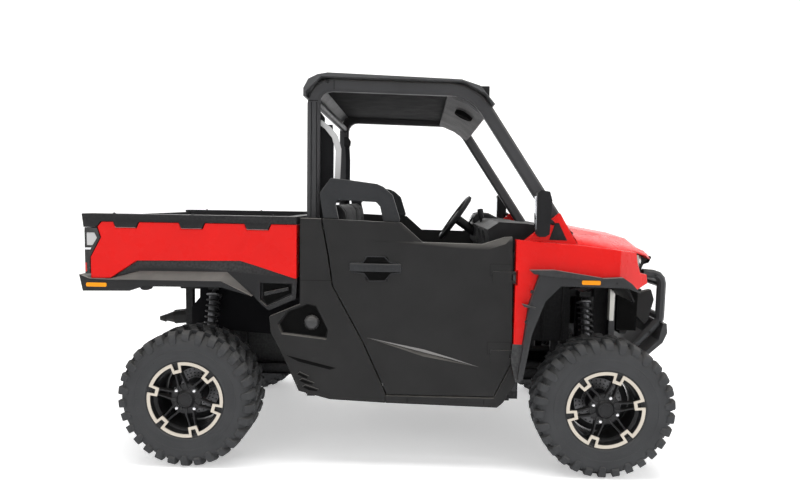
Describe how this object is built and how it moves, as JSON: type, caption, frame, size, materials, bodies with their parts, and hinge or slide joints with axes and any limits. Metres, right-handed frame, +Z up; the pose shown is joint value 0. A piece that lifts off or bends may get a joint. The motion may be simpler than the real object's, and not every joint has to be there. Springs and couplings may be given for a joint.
{
  "type": "side by side utv",
  "caption": "Two-seat off-road utility vehicle with an open cab in a tube cage, half doors, a tilting cargo bed and lugged tyres on split-spoke wheels.",
  "frame": {"origin": "on the ground at the middle of the vehicle's length and width", "axes": "+X forward, +Y to the vehicle's left, +Z up"},
  "size_m": [3.006, 1.6, 1.944],
  "materials": {
    "red_panel": "gloss",
    "black_plastic": "satin",
    "bed_plastic": "grained",
    "grey_plastic": "grained",
    "liner_plastic": "grained",
    "skid_plastic": "satin",
    "cage_steel": "satin",
    "guard_steel": "satin",
    "frame_steel": "satin",
    "cast_case": "cast",
    "wheel_alloy": "machined and painted",
    "tyre_rubber": "matt",
    "shock_steel": "satin",
    "muffler_steel": "satin",
    "radiator_core": "satin",
    "seat_fabric": "matt",
    "grip_rubber": "matt",
    "lamp_lens": "clear",
    "tail_lens": "clear"
  },
  "bodies": {
    "chassis": {"arch_liners": "black_plastic", "brush_guard": "guard_steel", "bulkhead": "black_plastic", "cage": "cage_steel", "dash": "black_plastic", "driveline": "cast_case", "driver_controls": "black_plastic", "engine": "cast_case", "fascia": "grey_plastic", "fender_flares": "grey_plastic", "fenders": "red_panel", "floor_pan": "black_plastic", "frame": "frame_steel", "frame_towers": "frame_steel", "front_lamps": "lamp_lens", "fuel_cap": "grey_plastic", "hood": "red_panel", "light_bar": "black_plastic", "mirrors": "black_plastic", "muffler": "muffler_steel", "radiator": "radiator_core", "rear_uprights": "cast_case", "roof": "grey_plastic", "roof_liner": "liner_plastic", "seat_backs": "seat_fabric", "seat_cushions": "seat_fabric", "shocks": "shock_steel", "side_panels": "grey_plastic", "skid_plate": "skid_plastic", "suspension_arms": "frame_steel"},
    "cargo_bed": {"bed_tub": "bed_plastic", "bed_panels": "red_panel", "bed_skirts": "black_plastic", "rear_lamps": "tail_lens"},
    "tailgate": {"tailgate": "bed_plastic"},
    "door_left": {"door_panel_left": "grey_plastic", "door_trim_left": "grey_plastic"},
    "door_right": {"door_panel_right": "grey_plastic", "door_trim_right": "grey_plastic"},
    "knuckle_left": {"knuckle_left": "cast_case"},
    "knuckle_right": {"knuckle_right": "cast_case"},
    "steering_rack": {"steering_rack": "frame_steel"},
    "steering_wheel": {"steering_wheel": "grip_rubber"},
    "wheel_fl": {"tyre_fl": "tyre_rubber", "rim_fl": "wheel_alloy"},
    "wheel_fr": {"tyre_fr": "tyre_rubber", "rim_fr": "wheel_alloy"},
    "wheel_rl": {"tyre_rl": "tyre_rubber", "rim_rl": "wheel_alloy"},
    "wheel_rr": {"tyre_rr": "tyre_rubber", "rim_rr": "wheel_alloy"}
  },
  "joints": [
    {"name": "wheel_fl_spin", "type": "hinge", "parent": "knuckle_left", "child": "wheel_fl", "pos_m": [1.07, 0.6855, 0.339], "axis": [0, 1, 0], "continuous": true},
    {"name": "wheel_fr_spin", "type": "hinge", "parent": "knuckle_right", "child": "wheel_fr", "pos_m": [1.07, -0.6855, 0.339], "axis": [0, 1, 0], "continuous": true},
    {"name": "wheel_rl_spin", "type": "hinge", "parent": "chassis", "child": "wheel_rl", "pos_m": [-0.97, 0.6605, 0.339], "axis": [0, 1, 0], "continuous": true},
    {"name": "wheel_rr_spin", "type": "hinge", "parent": "chassis", "child": "wheel_rr", "pos_m": [-0.97, -0.6605, 0.339], "axis": [0, 1, 0], "continuous": true},
    {"name": "steer_left", "type": "hinge", "parent": "chassis", "child": "knuckle_left", "pos_m": [1.07, 0.6, 0.339], "axis": [0, 0, 1], "range_deg": [-28, 28]},
    {"name": "steer_right", "type": "hinge", "parent": "chassis", "child": "knuckle_right", "pos_m": [1.07, -0.6, 0.339], "axis": [0, 0, 1], "range_deg": [-28, 28]},
    {"name": "rack_slide", "type": "slide", "parent": "chassis", "child": "steering_rack", "axis": [0, 1, 0], "range_m": [-0.05, 0.05]},
    {"name": "steering_wheel_turn", "type": "hinge", "parent": "chassis", "child": "steering_wheel", "pos_m": [0.392, 0.34, 1.224], "axis": [-0.8191, 0, 0.5736], "range_deg": [-340, 340]},
    {"name": "door_left_hinge", "type": "hinge", "parent": "chassis", "child": "door_left", "pos_m": [0.6225, 0.739, 0.772], "axis": [0, 0, -1], "range_deg": [0, 65]},
    {"name": "door_right_hinge", "type": "hinge", "parent": "chassis", "child": "door_right", "pos_m": [0.6225, -0.739, 0.772], "axis": [0, 0, 1], "range_deg": [0, 65]},
    {"name": "bed_tilt", "type": "hinge", "parent": "chassis", "child": "cargo_bed", "pos_m": [-1.17, 0, 0.885], "axis": [0, -1, 0], "range_deg": [0, 40]},
    {"name": "tailgate_drop", "type": "hinge", "parent": "cargo_bed", "child": "tailgate", "pos_m": [-1.462, 0, 0.905], "axis": [0, -1, 0], "range_deg": [0, 90]}
  ],
  "couplings": [
    {"joint": "steer_right", "follows": "steer_left", "ratio": 1},
    {"joint": "rack_slide", "follows": "steer_left", "m_per_rad": -0.095},
    {"joint": "steering_wheel_turn", "follows": "steer_left", "ratio": 12}
  ]
}
